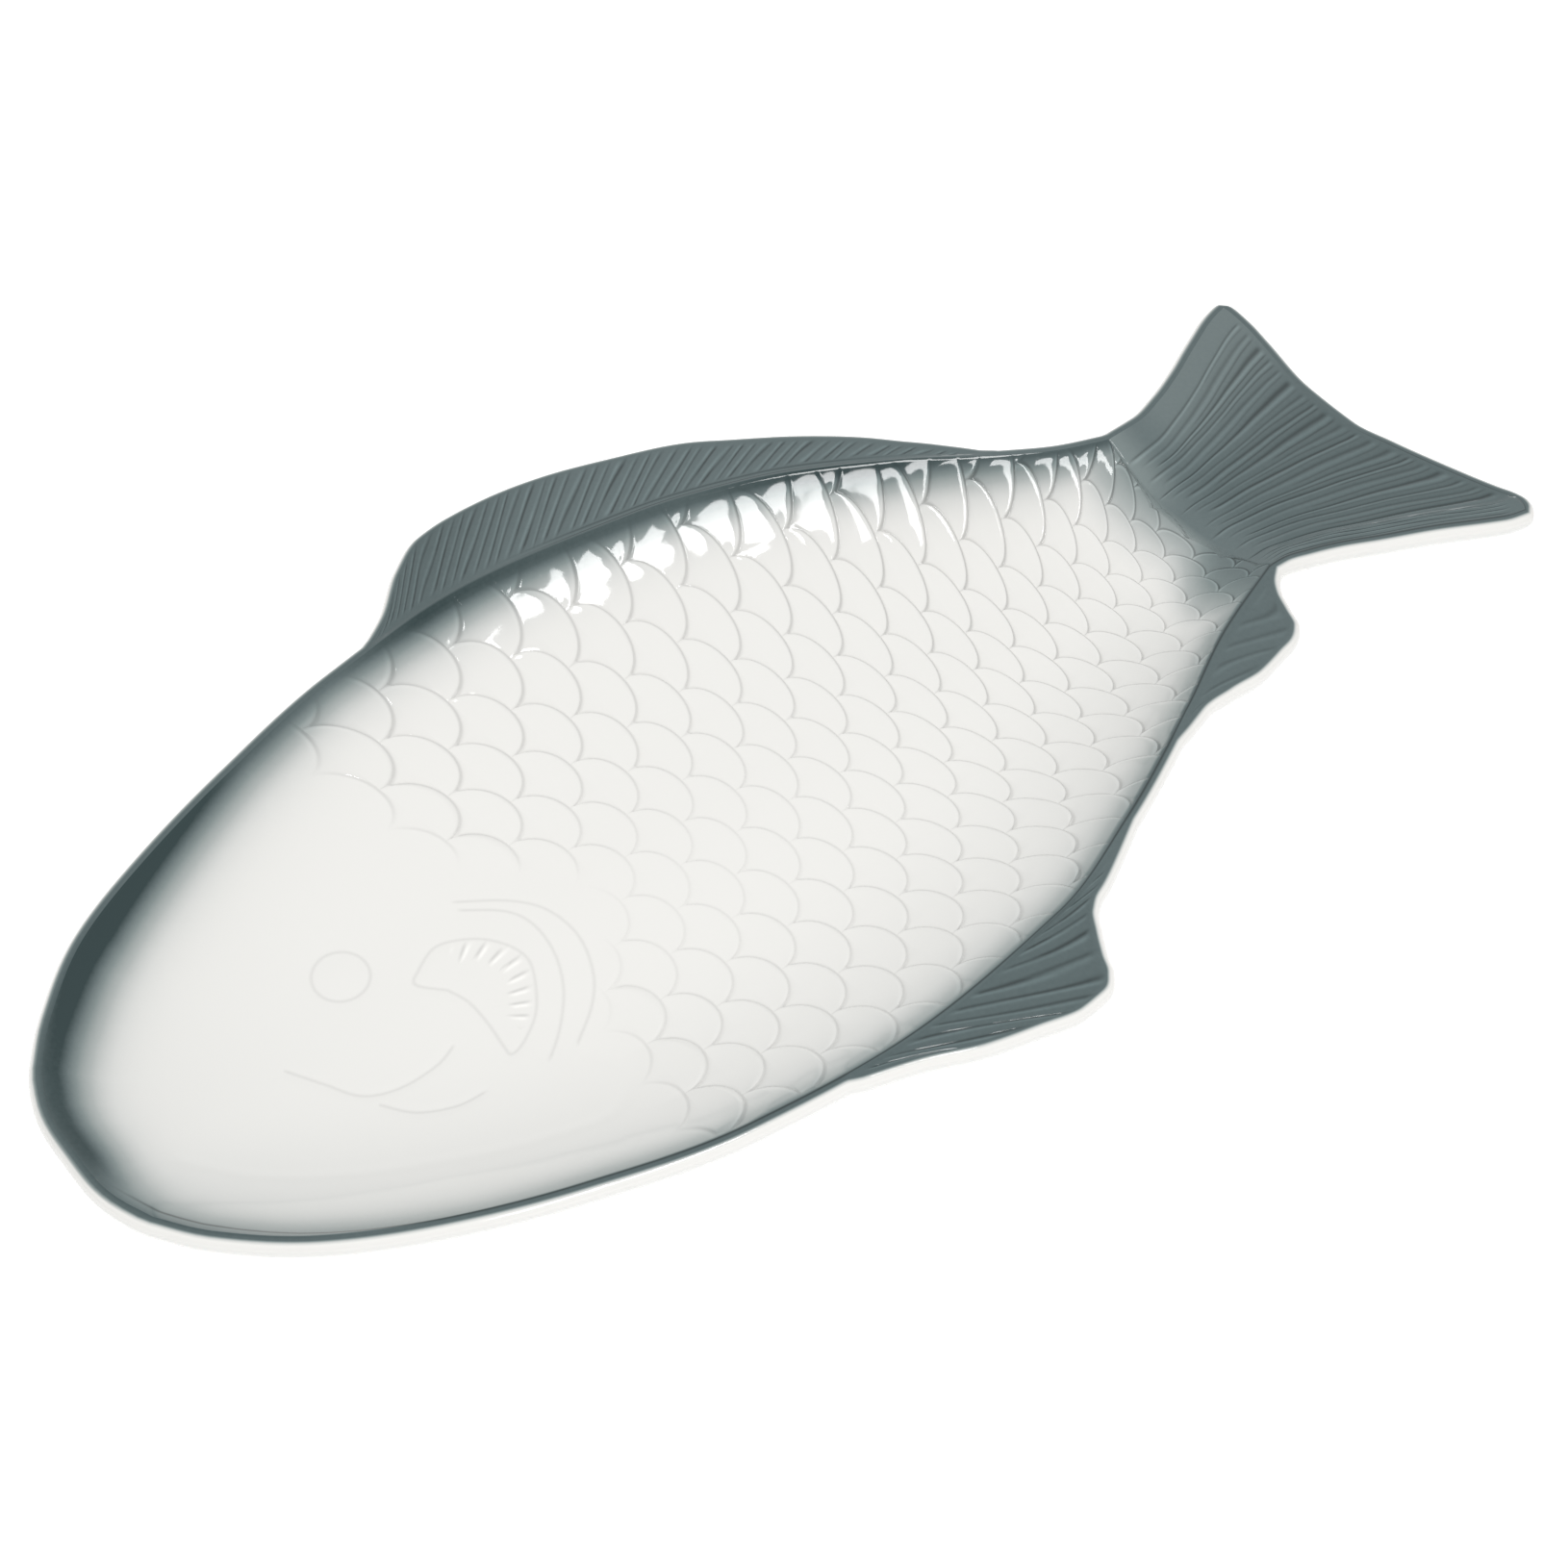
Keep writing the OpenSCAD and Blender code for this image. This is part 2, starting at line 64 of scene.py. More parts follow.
BACK_FIN = ((.403, 0, 0), (.419, .22, .26), (.438, .43, .68), (.459, .61, .94), (.477, .74, .98),
            (.508, .83, .97), (.556, .87, .91), (.619, .87, .75), (.668, .83, .61),
            (.71, .74, .45), (.755, .61, .33), (.81, .48, .18), (.846, .35, .07),
            (.882, .2, .01), (.918, 0, 0))
BREAST_FIN = ((.438, 0, 0), (.459, .58, .28), (.477, .98, .58), (.498, 1.32, .78),
              (.52, 1.5, .93), (.538, 1.54, .92), (.556, 1.43, .79), (.574, 1.23, .58),
              (.595, 1.04, .31), (.619, .8, .09), (.653, .47, 0), (.695, .2, 0), (.74, 0, 0))
REAR_FIN = ((.816, 0, 0), (.84, .4, 0), (.861, .72, .25), (.882, .96, .6), (.906, 1.04, .8),
            (.924, 1, .92), (.94, .84, .88), (.955, .6, .6), (.97, .38, .26), (.985, .2, .07),
            (1, .05, 0))


def curve(t, table, c=1):
    """Smooth curve through a table: cubic pieces whose slopes are harmonic means."""
    tab = np.array(table, float)
    x, y = tab[:, 0], tab[:, c]
    w = np.diff(x)
    r = np.diff(y) / w
    a, b = r[:-1], r[1:]
    mean = np.where(a * b > 0, 2 * a * b / np.where(a * b > 0, a + b, 1), 0)
    m = np.concatenate([r[:1], mean, r[-1:]])
    i = np.clip(np.searchsorted(x, t, side="right") - 1, 0, len(x) - 2)
    s = np.clip((t - x[i]) / w[i], 0, 1)
    return (y[i] * (1 + 2 * s) * (1 - s) ** 2 + m[i] * w[i] * s * (1 - s) ** 2
            + y[i + 1] * s * s * (3 - 2 * s) - m[i + 1] * w[i] * s * s * (1 - s))


def ease(t):
    """s * s * (3 - 2 * s) with s = t held between 0 and 1."""
    s = np.clip(t, 0, 1)
    return s * s * (3 - 2 * s)


def crest(x, v):
    """Half width of the rim's crest: curve(sqrt(share of the body)) * WIDTH / 2."""
    t = np.sqrt(np.clip((x - NOSE) / (BODY - NOSE), 0, 1))
    return WIDTH / 2 * np.where(v > 0, curve(t, BACK), curve(t, BELLY))


def tail_x(t, v):
    """x of the tail at share t of its length and place v across it."""
    return BODY + t * (TAIL - LIP - LAND) * curve(v, TAIL_END)


def tail_y(t, side):
    """y of the tail's upper (side 1) or lower edge (side -1) at share t."""
    root = WIDTH / 2 * (BACK[-1][1] if side > 0 else -BELLY[-1][1])
    tip = SPREAD * (TIP_TOP if side > 0 else TIP_LOW)
    return root + (tip - root) * curve(t, TAIL_TOP if side > 0 else TAIL_LOW)


# ---- Form of the dish ----
# A gently sloping wall runs from the crest down to a flat floor; towards the tail the floor rises
# by RISE of its depth. The mould presses both in one.
DEPTH, SLOPE = 21.0, 80.0
RISE, RISE_FROM, RISE_OVER = .86, 270, 90


def fall(t):
    """1 - (1 - s)**2.6: steepest at the crest, level at the floor."""
    return 1 - (1 - np.clip(t, 0, 1)) ** 2.6


def dish(x, v, half):
    """Height of the inner surface: RIM - DEPTH * fall along the fish * fall across it."""
    along = fall((x - NOSE) / SLOPE) * (1 - RISE * ease((x - RISE_FROM) / RISE_OVER))
    return RIM - DEPTH * along * fall((1 - np.abs(v)) * half / np.minimum(SLOPE, half))


# ---- Scales ----
# Rows of overlapping scales: place (x, y) of row number p along and q across the fish. The free
# edge of a scale is half an ellipse between two points whose p and q are both even or both odd.
ROWS, MIDDLE = 29, 7.5                              # MIDDLE is the q of the centre line
ROW_AT, ROW_STEP, ROW_CLOSER = 126.1, 9.45, .0916   # the rows' places; they draw closer aft
BELLY_BOW, BACK_BOW = 1.6, 1.0                      # how a row swings aft at its two ends
REACH = .93                                         # how far an edge reaches over the next row


def scale_xy(p, q):
    """x = at + step * p - closer * p^2 + bow * ((q - 8) / 7)^2 * (p - 9), and y by scale_y."""
    big = ((q - 8) / 7) ** 2
    x = (ROW_AT + ROW_STEP * p - ROW_CLOSER * p * p
         + np.where(q < 8, BELLY_BOW, BACK_BOW) * big * (p - 9))
    return x, scale_y(x, q)


ROW_CENTRE = ((120, .6), (150, .2), (200, -.4), (230, -3.9), (250, -7), (285, -7.1), (310, -6.5),
              (330, -5))
ROW_PITCH = ((120, 9.9), (150, 10.3), (200, 10.9), (250, 11.2), (285, 10.4), (310, 8.2),
             (330, 6.5))
ROW_BOW = ((120, 0), (150, 0), (200, 4.5), (250, 9.5), (285, 11), (310, 10), (330, 8))


def scale_y(x, q):
    """y = centre - pitch * s + bow * (s / MIDDLE)^2 with s = q - MIDDLE."""
    s = q - MIDDLE
    return curve(x, ROW_CENTRE) - curve(x, ROW_PITCH) * s + curve(x, ROW_BOW) * (s / MIDDLE) ** 2


def scale_pq(x, y):
    """The inverse of scale_xy, by the two quadratic formulas."""
    pitch, b = curve(x, ROW_PITCH), curve(x, ROW_BOW) / MIDDLE ** 2
    c = curve(x, ROW_CENTRE) - y
    root = np.sqrt(np.maximum(pitch ** 2 - 4 * b * c, .2 * pitch ** 2))
    q = MIDDLE + 2 * c / (pitch + root)
    k = np.where(q < 8, BELLY_BOW, BACK_BOW) * ((q - 8) / 7) ** 2
    a, c = ROW_STEP + k, x - ROW_AT + 9 * k
    p = 2 * c / (a + np.sqrt(np.maximum(a * a - 4 * ROW_CLOSER * c, 1)))
    return p, q


def scale_field(p, q, v, last):
    """Strength of the scales: none before the first row, behind the gills, at the belly's rim
    and past the last row, less over the worn middle of the floor."""
    gills = 2.4 * np.exp(-((q - 7.4) / 2.1) ** 2)
    worn = .7 * np.exp(-(np.maximum(p - 3, 0) / 9) ** 2 - ((q - 8.5) / 4.2) ** 2)
    return (ease(p + .9 - gills) * ease((1 - np.abs(v)) * np.where(v > 0, 11, 25))
            * ease((last - p) * .8) * (1 - worn))


# ---- Inside of the dish ----
# A net of lines across the body. Over the scales the lines follow the free edges, two for each
# step and six between two steps.
ACROSS = 168            # faces across the fish
STEP = .62              # height of a scale's edge
FOOT_LINE = .055        # the foot of the edge, in rows behind it
HEAD_END = 104          # the last plain line; from there the lines bend into the first row
NO_SCALE = 40.0         # a p that is past every row
v = np.linspace(-1, 1, ACROSS + 1)
lines = []

edges = []
for k in range(ROWS):
    for foot in (0.0, FOOT_LINE):
        x = np.full(v.shape, float(scale_xy(k + .5, MIDDLE)[0]))
        for _ in range(9):
            p, q = scale_pq(x, v * crest(x, v))
            w = np.mod(q - k, 2) - 1
            p = k + REACH * np.sqrt(1 - w * w) + foot
            x = .35 * x + .65 * scale_xy(p, q)[0]
        edges.append((x, STEP * (p - foot - k - (foot > 0))))
first = edges[0][0]
for x in np.concatenate([NOSE + np.array([0, .12, .3, .6, 1, 1.5, 2.1, 2.8, 3.6, 4.5, 5.4, 6.4]),
                         np.arange(NOSE + 7.4, HEAD_END, 1.05)]):
    bow = 5 * np.abs(v) ** 4.5 * ease(1 - x / 90)
    lines.append((x + bow, np.zeros(v.shape)))
for s in np.arange(1, 15) / 15:
    lines.append((HEAD_END + (first - HEAD_END) * s ** 1.15, edges[0][1] * s))
for k in range(ROWS):
    (top, high), (foot, low) = edges[2 * k], edges[2 * k + 1]
    lines += [(top, high), (foot, low)]
    if k < ROWS - 1:
        (after, rise) = edges[2 * k + 2]
        for s in (.06, .22, .42, .62, .79, .92):
            curl = .26 * STEP * (1 - ((1 - s) / .3 - 1) ** 2 if s > .7 else s / .7)
            lines.append((foot + (after - foot) * s, low + (rise - low) * s + curl))
last = lines[-1][0]
for s in (.3, .65):
    lines.append((last + (tail_x(0, v) - last) * s, np.zeros(v.shape)))
body_lines = len(lines)
x = np.array([a for a, _ in lines])
# The lines keep their order and end before the root of the tail
apart = .01 * np.arange(len(x))[:, None]
x = np.minimum(np.maximum.accumulate(x - apart, 0), BODY - .01 * len(x)) + apart
up = np.array([b for _, b in lines])
vv = np.broadcast_to(v, x.shape)
half = crest(x, vv)
y = vv * half
p, q = scale_pq(x, y)
# The steps run out before the tail's root, the drawn lines a little past it
field = scale_field(p, q, vv, ROWS + .2) * ease((BODY - .6 - x) / 2.5)
z = dish(x, vv, half) + up * field
grid = np.stack([x, y, z], axis=2)
lines_drawn = scale_field(p, q, vv, ROWS + 2.6) * (.85 + .5 * ease((p - 8) / 12))
grid_pq = np.stack([p, q, lines_drawn], axis=2)


# ---- Tail ----
# Its net goes on from the body's and fans out to the rear edge. It is ribbed by wavering grooves
# from its root, with finer ones between them further out and a few lines along the lower edge;
# the upper edge has a smooth margin.
ALONG_TAIL, TAIL_RAYS = 74, 19
MARGIN, LINED = 13, 6.2     # smooth edge above, lined edge below
t = tail_t = np.linspace(0, 1, ALONG_TAIL)[:, None] ** .97
tx = tail_x(t, v[None, :])
low, top = tail_y(t, -1), tail_y(t, 1)
ty = low + (top - low) * (v[None, :] + 1) / 2
tv = np.broadcast_to(v, tx.shape)
tz = dish(tx, tv, (top - low) / 2)
far_end = (1 - t) * TAIL * curve(tv, TAIL_END)
upper = 1 - MARGIN / (top - low) * (1 - .45 * t)
lower = -1 + MARGIN / (top - low)
tail_phase = (tv - lower) / (upper - lower) * TAIL_RAYS
tail_phase += .13 * np.sin(tail_phase * 1.9 + 3 * t) + .05 * np.sin(tail_phase * 4.3 - 5 * t)
inside = ease((tail_phase - .1) * 3) * ease((TAIL_RAYS - .3 - tail_phase) * 3)
inside *= ease((far_end - .8) / 2)
index = np.floor(tail_phase)
tail_ray = inside * ease((t + .02 - .12 * np.mod(index * .618, 1)) * 14)
tail_ray *= .75 + .25 * np.cos(index * 2.4)
index = np.floor(tail_phase + .5)
tail_fine = inside * ease((t - .1 - .5 * np.mod(index * .382, 1)) * 9)
tail_fine *= .7 + .3 * np.cos(index * 5.1)
# The lines along the lower edge, and the low bead that carries them
low_gap = (tv + 1) / 2 * (top - low)
edge_line = ease(low_gap / .8) * ease((6 - low_gap) / 1.5) * ease(t * 9) * ease((far_end - 3) / 5)
tail_ray = np.where(low_gap < LINED, edge_line, tail_ray)
tail_fine = np.where(low_gap < LINED, 0, tail_fine)
tail_phase = np.where(low_gap < LINED, low_gap / 1.35 - 4.1, tail_phase)
groove = np.exp(-((np.mod(tail_phase, 1) - .5) / .17) ** 2) * tail_ray
fine = np.exp(-((np.mod(tail_phase + .5, 1) - .5) / .15) ** 2) * tail_fine
bead = .8 * ease((7 - low_gap) / 3.5) * ease(t * 6)
tz = np.minimum(tz + bead * ease(low_gap / 2), RIM - .05) - .3 * groove - .2 * fine
tail_grid = np.stack([tx, ty, tz], axis=2)
tail_pq = np.stack([np.full(tx.shape, NO_SCALE), 0 * tx, 0 * tx], axis=2)
net = np.concatenate([grid, tail_grid])
net_pq = np.concatenate([grid_pq, tail_pq])
rows, columns = net.shape[:2]


# ---- Face ----
# Fine lines pressed into the head: a ring for the eye on a low dome, the mouth, the two lines
# of the gill and a small fin with its rays. They are chains of places (x, y).
def to_line(px, py, points):
    """Distance from each (px, py) to a chain of straight pieces."""
    best = np.full(px.shape, 1e3)
    for (ax, ay), (bx, by) in zip(points[:-1], points[1:]):
        dx, dy = bx - ax, by - ay
        s = np.clip(((px - ax) * dx + (py - ay) * dy) / (dx * dx + dy * dy), 0, 1)
        best = np.minimum(best, np.hypot(px - ax - s * dx, py - ay - s * dy))
    return best


def rounded(points, n=6):
    """The chain with n points to a piece, on cubics through the given points."""
    pts = np.array(points, float)
    out = []
    for i in range(len(pts) - 1):
        a, b = pts[max(i - 1, 0)], pts[i]
        c, d = pts[i + 1], pts[min(i + 2, len(pts) - 1)]
        for s in np.arange(n) / n:
            out.append(.5 * (2 * b + (c - a) * s + (2 * a - 5 * b + 4 * c - d) * s * s
                             + (3 * b - a - 3 * c + d) * s ** 3))
    return out + [pts[-1]]


EYE_X, EYE_Y, EYE_R = 79.4, 17.9, 6.9
HUB_X, HUB_Y, RAY_TURN = 91, -5.5, 11   # the small fin's rays meet here, so many degrees apart
MOUTH = ((55, 2.5), (60, -5.5), (65, -13.5), (73, -17), (83, -17), (89, -14.8))
LOWER_LIP = ((67, -18.5), (72, -25.5), (80, -30), (87, -30.8))
GILL = ((113, 19.5), (123, 12.5), (129, 4.5), (130.5, -6.5), (127, -17.5), (121, -25.5),
        (112, -32.5))
GILL_IN = ((113, 16.5), (121, 10), (124, 2.5), (123, -7.5), (118.5, -17.5), (111, -26.5),
           (104, -32.5))
SIDE_FIN = ((97, -.5), (92, 5.5), (95, 8.5), (101, 11.5), (106, 10.5), (112, 6.5), (116, .5),
            (117, -5.5), (114, -12.5), (109, -19.5), (102, -24.5), (98, -25.5), (98, -22.5),
            (99, -14.5), (99, -6.5), (97, -.5))
JAW = ((22, -9), (35, -22), (50, -32), (63, -39.5), (78, -48), (93, -54.5), (104, -57), (112, -52),
       (115, -46), (112, -37))


def stroke(px, py, points):
    """Signed distance to a chain, and how near it is to the chain and not past its ends."""
    closed = np.allclose(points[0], points[-1])
    pts = list(points)
    if not closed:
        pts = ([2 * np.array(points[0]) - points[1]] + pts
               + [2 * np.array(points[-1]) - points[-2]])
    best, signed, run = np.full(px.shape, 1e3), np.zeros(px.shape), np.zeros(px.shape)
    for i, ((ax, ay), (bx, by)) in enumerate(zip(pts[:-1], pts[1:])):
        dx, dy = bx - ax, by - ay
        s = np.clip(((px - ax) * dx + (py - ay) * dy) / (dx * dx + dy * dy), 0, 1)
        far = np.hypot(px - ax - s * dx, py - ay - s * dy)
        side = np.sign(dx * (py - ay) - dy * (px - ax))
        signed = np.where(far < best, far * side, signed)
        run = np.where(far < best, i + s, run)
        best = np.minimum(best, far)
    ends = np.clip(run * 1.5 - .2, 0, 1) * np.clip((len(pts) - 1 - run) * 1.5 - .2, 0, 1)
    ends = 1 if closed else ends
    return signed, ends * ease((6 - best) / 3)


head = net[:body_lines]
hx, hy = head[..., 0].copy(), head[..., 1].copy()
near_head = hx < 140
sx, sy = hx[near_head], hy[near_head]
eye = np.hypot(sx - EYE_X, sy - EYE_Y)
strokes = []
for chain in (MOUTH, LOWER_LIP, GILL, GILL_IN, SIDE_FIN, None):
    pair = np.zeros(hx.shape + (3,))
    if chain:
        d, on = stroke(sx, sy, rounded(chain))
    else:
        d, on = eye - EYE_R, ease((14 - eye) / 4)
    pair[near_head] = np.stack([d, on, 0 * d], 1)
    strokes.append(pair)
# The jaw is a broad shallow hollow and the eye a low dome; the other lines are narrow grooves
jaw = np.full(hx.shape, 9.0)
jaw[near_head] = np.minimum(to_line(sx, sy, rounded(JAW)), 9)
dome = np.zeros(hx.shape)
dome[near_head] = .3 * ease(1 - eye / 7.5)
relief = dome - .12 * np.exp(-(jaw / 1.6) ** 2)
for pair in strokes:
    relief -= .14 * np.exp(-(pair[..., 0] / 1.2) ** 2) * pair[..., 1] * ease((110 - hx) / 8)
net[:body_lines, :, 2] += relief
# The rays of the small fin, as a phase and a strength
turn = np.degrees(np.arctan2(hy - HUB_Y, hx - HUB_X)) / RAY_TURN
fin_ray = ease((-strokes[4][..., 0] - 1) / 1.5) * (strokes[4][..., 1] > 0) * ease((hx - 103) / 3)
net_ray = np.concatenate([
    np.stack([turn, fin_ray * .35, 0 * turn], 2),
    np.stack([tail_phase, tail_ray, tail_fine], 2)])


# ---- Fins and lip ----
# Rays run out from the crest to the fins' edges. The flat top ends in a half round lip, pressed
# in one with the rest, and rings of points run round it from the crest to the underside.
# Of each fin: its table, its side, its reach, the number of its rays and their strength.
TAIL_MARK = 9.0     # stands for a fin's size along the tail
FINS = ((BACK_FIN, 1, 23, 48, 1), (BREAST_FIN, -1, 18.1, 14, 1), (REAR_FIN, -1, 11.4, 7, .5))


def fin(x, side, c):
    """Reach (c = 2) or lean (c = 1) of the fins at x, in millimetres."""
    s = x / BODY
    out = np.zeros(x.shape)
    for tab, on, height, _, _ in FINS:
        inside = (s > tab[0][0]) & (s < tab[-1][0]) & (on == side)
        out = out + np.where(inside, height * curve(s, tab, c), 0)
    return out


def rays(x, side):
    """Number of the ray at x and the strength of the grooves between rays there."""
    phase, deep = np.zeros(x.shape), np.zeros(x.shape)
    for tab, on, _, n, most in FINS:
        s = (x / BODY - tab[0][0]) / (tab[-1][0] - tab[0][0])
        inside = (s > 0) & (s < 1) & (on == side)
        warped = n * np.abs(s) ** .93 + .12 * np.sin(s * n * 1.7) + .05 * np.sin(s * n * 3.9)
        some = most * (.8 + .2 * np.cos(np.floor(warped) * 2.7))
        phase, deep = np.where(inside, warped, phase), np.where(inside, some, deep)
    return phase, deep


# Places of the points round the rim, close together where the fins have rays
close, plain = .66, 1.7
low_x = np.concatenate([NOSE + np.array([5, 5.5, 6.2, 7.1, 8.2, 9.5, 11, 12.8]),
                        np.arange(18, 144, plain), np.arange(144.5, 246, close),
                        np.arange(247, 269, plain), np.arange(269.5, BODY - .3, close)])
top_x = np.concatenate([NOSE + np.array([5, 5.5, 6.2, 7.1, 8.2, 9.5, 11, 12.8]),
                        np.arange(18, 129, plain), np.arange(129.5, 305, close),
                        np.arange(306, BODY - 1, plain)])
edge_t = np.concatenate([np.linspace(.015, .968, 46), [.977, .984, .99, .995, 1]])
end_v = np.concatenate([[-.994, -.987, -.979, -.97, -.96, -.95, -.938], np.linspace(-.92, .92, 60),
                        [.938, .95, .96, .97, .979, .987, .994]])
nose_v = np.linspace(.94, -.94, 20)


def side_ring(xs, side, w):
    """Points at share w between the crest and the edge of the flat top, over body and tail: the
    crest moved along its normal by w * LAND and by w times the fin's lean and reach, and lowered
    by the fin's fall and the grooves. Also how far the edge is, the rays and the fin's size."""
    e = .4
    y0 = crest(xs, side)
    dy = (crest(xs + e, side) - crest(xs - e, side)) / (2 * e)
    d = np.hypot(1, dy)
    lean, far = fin(xs, side, 1) * w, fin(xs, side, 2) * w
    total = np.hypot(lean, far) / max(w, 1e-9)
    px = xs - w * LAND * dy / d + lean
    py = side * (y0 + w * LAND / d + far)
    run = total * w
    # A fin drops behind the crest and rises a little again before its edge
    drop = .72 * ease(run / 2.6) - .18 * ease((run - 2.2) / 3) * ease((total - run) / 5)
    phase, deep = rays(xs, side)
    phase = phase - w * (1.2 + 1.5 * ease((.56 - xs / BODY) / .14) if side > 0 else 1.3)
    start = np.minimum(3.8, .35 * total) if side > 0 else 2
    deep = deep * ease((run - start) / 1.2) * ease(((1 - w) * total - 1) / 1.2)
    cut = deep * np.exp(-((np.mod(phase, 1) - .5) / .2) ** 2)
    body = np.stack([px, py, RIM - drop - (.36 if side > 0 else .12) * cut], 1)
    t = edge_t
    ex, ey = tail_x(t, side), tail_y(t, side)
    dx = tail_x(t, side) - tail_x(t - .01, side)
    dy = tail_y(t, side) - tail_y(t - .01, side)
    d = np.hypot(dx, dy)
    tail = np.stack([ex - side * w * LAND * dy / d, ey + side * w * LAND * dx / d,
                     np.full(t.shape, RIM)], 1)
    inner = np.concatenate([(1 - w) * (LAND + total), np.full(t.shape, (1 - w) * LAND)])
    groove = np.concatenate([np.stack([phase, deep, 0 * deep], 1), np.zeros((len(t), 3))])
    return np.concatenate([body, tail]), inner, groove, np.concatenate([total, TAIL_MARK + 0 * t])


def ring(w):
    """The whole loop at share w: belly side, rear edge, back side and nose, as side_ring."""
    low, low_e, low_g, low_f = side_ring(low_x, -1, w)
    top, top_e, top_g, top_f = side_ring(top_x, 1, w)
    ends = np.stack([tail_x(1, end_v) + w * LAND,
                     tail_y(1, -1) + (tail_y(1, 1) - tail_y(1, -1)) * (end_v + 1) / 2,
                     dish(tail_x(1, end_v), end_v, SPREAD / 2)], 1)
    nose_x = NOSE + 5 * np.abs(nose_v) ** 4.5
    nose_half = crest(nose_x, nose_v)
    nose = np.stack([nose_x - w * LAND, nose_v * nose_half
                     * (1 + w * LAND / nose_half * nose_v ** 2), np.full(nose_v.shape, RIM)], 1)
    flat = (1 - w) * LAND
    edge = np.concatenate([low_e, np.full(end_v.shape, flat), top_e[::-1],
                           np.full(nose_v.shape, flat)])
    groove = np.concatenate([low_g, np.zeros((len(end_v), 3)), top_g[::-1],
                             np.zeros((len(nose_v), 3))])
    fins = np.concatenate([low_f, TAIL_MARK + 0 * end_v, top_f[::-1], 0 * nose_v])
    return np.concatenate([low, ends, top[::-1], nose]), edge, groove, fins


rings, ring_edge, ring_groove, ring_fins = [], [], [], []


def add_ring(points, edge, groove, fins):
    """Puts one more loop and its numbers on the lists."""
    rings.append(points)
    ring_edge.append(edge)
    ring_groove.append(groove)
    ring_fins.append(fins)


# The flat top, then the half round of the lip, then the underside up to its net
for w in (.05, .1, .15, .21, .28, .36, .46, .56, .67, .78, .87, .94, 1):
    add_ring(*ring(w))
rim = rings[-1]
along = np.roll(rim, -1, 0)[:, :2] - np.roll(rim, 1, 0)[:, :2]
out = np.stack([along[:, 1], -along[:, 0]], 1)
for _ in range(5):
    out = out / np.linalg.norm(out, axis=1)[:, None]
    out = np.roll(out, 1, 0) + 2 * out + np.roll(out, -1, 0)
out = out / np.linalg.norm(out, axis=1)[:, None]
for a in np.radians([14, 30, 48, 66, 84, 102, 122, 142, 162, 180]):
    r = rim.copy()
    r[:, :2] += out * LIP * math.sin(a)
    r[:, 2] -= LIP * (1 - math.cos(a) * (1 if math.cos(a) > 0 else LOWER))
    add_ring(r, np.full(len(rim), -LIP * a), 0 * ring_groove[-1], ring_fins[-1])
UNDER = -9.0        # past every edge, on the underside
for w in (.85, .6, .35, .12):
    r, _, g, f = ring(w)
    r[:, 2] = RIM - (RIM - rim[:, 2]) * w - (1 + LOWER) * LIP * w - WALL * (1 - w)
    add_ring(r, np.full(len(rim), UNDER), 0 * g, f)


# ---- Underside and foot ----
# The underside follows the dish at the thickness of the wall. The foot is a low ring whose two
# ends bow out; it is pressed in one with the dish.
FOOT_A, FOOT_B, FOOT_V = BODY * .17, BODY * .78, .42    # its ends and its side
FOOT_W, FOOT_SLOPE, FOOT_BOW = 5.0, 1.0, 26             # its width, its flank, its ends' bow
# Lines across the dish at the places keys and along it at the places uv, close at the foot
across_foot = np.array([-1, -.5, 0, FOOT_W / 2, FOOT_W, FOOT_W + .5, FOOT_W + 1])
keys = np.concatenate([
    [6.6, 18, 35], FOOT_A + across_foot, np.arange(FOOT_A + 13, FOOT_B - 8, 8),
    FOOT_B - across_foot[::-1], [264, 272, 281, 290, 300, 309, 317, 324]])
edge_v, foot_v, slope_v = .96, FOOT_W * 2 / WIDTH, FOOT_SLOPE * 2 / WIDTH
inner_v = FOOT_V - foot_v
pos = [.07, .14, .21, .28, inner_v - slope_v, inner_v - slope_v / 2, inner_v,
       inner_v + foot_v / 2, FOOT_V, FOOT_V + slope_v / 2, FOOT_V + slope_v, .47, .53, .6, .68,
       .76, .84, .9, edge_v]
uv = np.array([-a for a in pos[::-1]] + [0] + pos)
a = keys[:, None]
bow = FOOT_BOW * curve(a / BODY, ((0, 0), (.17, 1), (.78, -1), (1, 0)))
bow = bow * np.minimum(1, (uv / FOOT_V) ** 2)
ux = a + bow
uh = crest(ux, np.broadcast_to(uv, ux.shape))
# The foot stands where a point is inside its outer edge and outside its inner one
outer = np.minimum(np.minimum(a - FOOT_A, FOOT_B - a), (FOOT_V - np.abs(uv)) * WIDTH / 2)
inner = np.minimum(np.minimum(a - FOOT_A - FOOT_W, FOOT_B - FOOT_W - a),
                   (inner_v - np.abs(uv)) * WIDTH / 2)
foot = ease(outer + 1) - ease(inner)
uz = (dish(ux, uv, uh) - WALL) * (1 - foot)
under = np.stack([ux, uv * uh, uz], 2)
t = np.linspace(.06, .95, 22)[:, None]
wide = (tail_y(t, 1) - tail_y(t, -1)) / 2
tail_under = np.stack([tail_x(t, uv), tail_y(t, -1) + wide * (uv + 1),
                       dish(tail_x(t, uv), uv, wide) - WALL], 2)
under = np.concatenate([under, tail_under])


